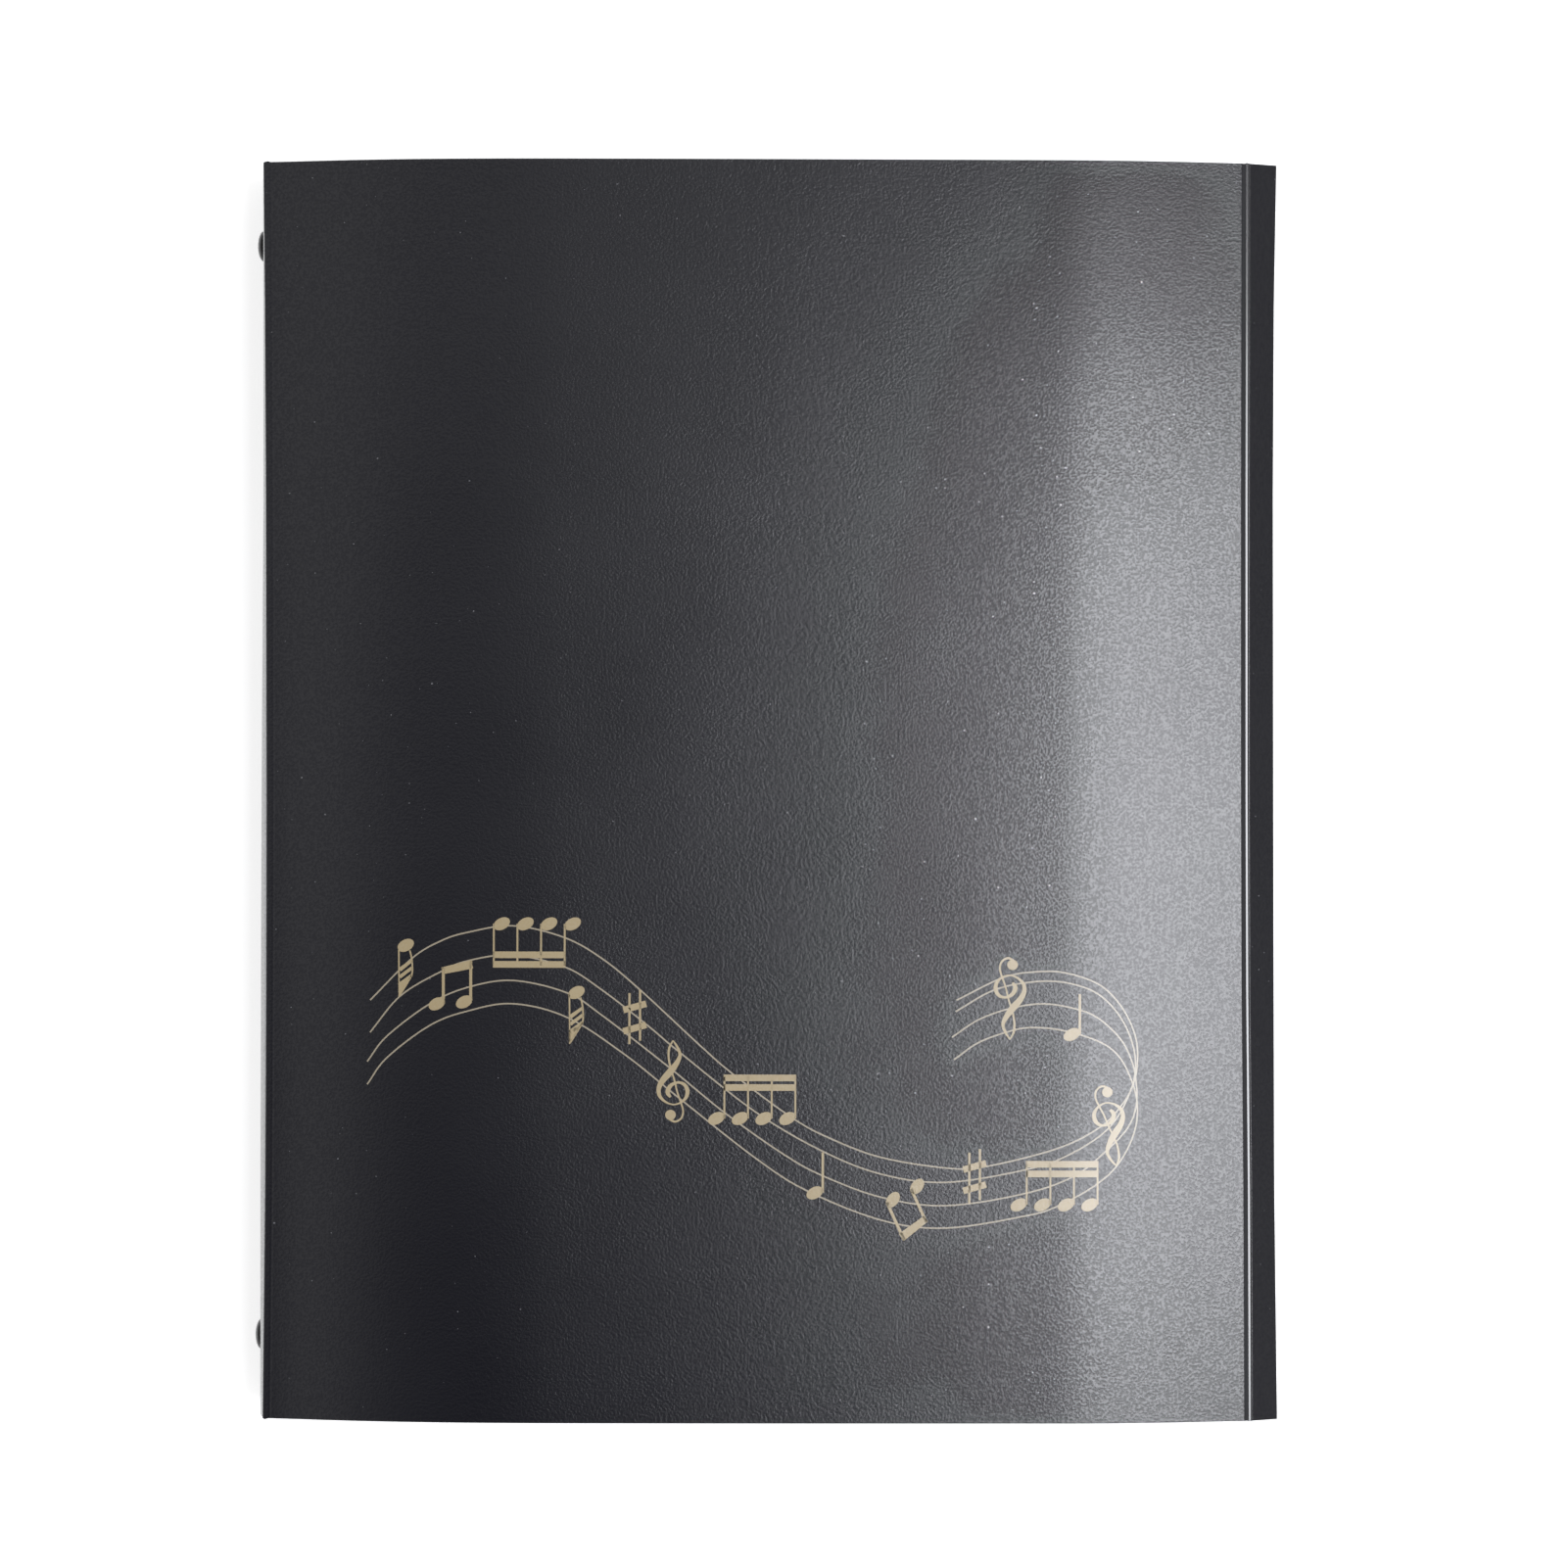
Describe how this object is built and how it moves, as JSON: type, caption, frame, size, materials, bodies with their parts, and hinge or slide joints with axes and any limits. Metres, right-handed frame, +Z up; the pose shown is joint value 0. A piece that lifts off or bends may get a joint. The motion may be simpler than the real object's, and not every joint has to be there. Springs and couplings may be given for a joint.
{
  "type": "music ring folder",
  "caption": "Closed ring folder of stiff plastic sheet for sheet music, with creased covers and a riveted snap-ring mechanism on its spine.",
  "frame": {"origin": "centre of the back cover's outer face", "axes": "+X from the spine to the fore-edge, +Y to the head of the folder, +Z up out of the front cover"},
  "size_m": [0.2526, 0.31, 0.0436],
  "materials": {
    "black_sheet": "satin black polypropylene with a fine grain",
    "ring_steel": "bright nickel plate",
    "rivet_black": "satin black lacquer"
  },
  "bodies": {
    "back_cover": {"back_cover": "black_sheet"},
    "spine": {"spine": "black_sheet", "ring_plate": "ring_steel", "rivet_top": "rivet_black", "rivet_bottom": "rivet_black"},
    "front_cover": {"front_cover": "black_sheet"},
    "back_ring_set": {"back_blade": "ring_steel", "back_ring_1": "ring_steel", "back_ring_2": "ring_steel", "back_ring_3": "ring_steel", "back_ring_4": "ring_steel"},
    "front_ring_set": {"front_blade": "ring_steel", "front_ring_1": "ring_steel", "front_ring_2": "ring_steel", "front_ring_3": "ring_steel", "front_ring_4": "ring_steel"}
  },
  "joints": [
    {"name": "back_crease", "type": "hinge", "parent": "back_cover", "child": "spine", "pos_m": [-0.124, 0, 0.0005], "axis": [0, -1, 0], "range_deg": [0, 90]},
    {"name": "front_crease", "type": "hinge", "parent": "spine", "child": "front_cover", "pos_m": [-0.124, 0, 0.0345], "axis": [0, -1, 0], "range_deg": [0, 180]},
    {"name": "back_blade_pivot", "type": "hinge", "parent": "spine", "child": "back_ring_set", "pos_m": [-0.12266, 0, 0.01105], "axis": [0, 1, 0], "range_deg": [0, 11]},
    {"name": "front_blade_pivot", "type": "hinge", "parent": "spine", "child": "front_ring_set", "pos_m": [-0.12266, 0, 0.02395], "axis": [0, -1, 0], "range_deg": [0, 11]}
  ],
  "couplings": [
    {"joint": "front_blade_pivot", "follows": "back_blade_pivot", "ratio": 1}
  ]
}
